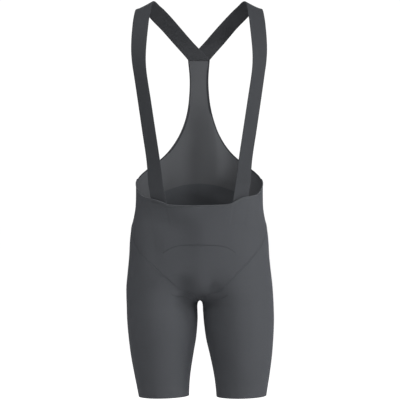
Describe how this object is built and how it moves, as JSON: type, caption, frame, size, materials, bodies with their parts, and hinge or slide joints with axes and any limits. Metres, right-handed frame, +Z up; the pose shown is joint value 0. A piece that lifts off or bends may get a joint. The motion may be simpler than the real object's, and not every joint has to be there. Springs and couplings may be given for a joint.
{
  "type": "cycling bib shorts",
  "caption": "Worn-shape cycling bib shorts: close-fitting panelled shorts with long legs, a narrow racerback bib and flat elastic braces that cross at the back.",
  "frame": {"origin": "on the shoulder line, midway between the tops of the two braces, where the wearer's shoulders hold the garment up", "axes": "+Z up, the front of the garment faces -Y, +X is the wearer's left"},
  "size_m": [0.3465, 0.2441, 0.9282],
  "materials": {
    "shorts_knit": "matte charcoal stretch knit",
    "bib_knit": "matte charcoal light knit",
    "edge_binding": "matte charcoal folded binding",
    "brace_elastic": "matte charcoal woven elastic"
  },
  "bodies": {
    "root": {"front_panel": "shorts_knit", "seat_panel": "shorts_knit", "leg_left": "shorts_knit", "leg_right": "shorts_knit", "bib_back": "bib_knit", "front_binding": "edge_binding", "back_binding_left": "edge_binding", "back_binding_right": "edge_binding", "brace_left": "brace_elastic", "brace_right": "brace_elastic"}
  },
  "joints": []
}
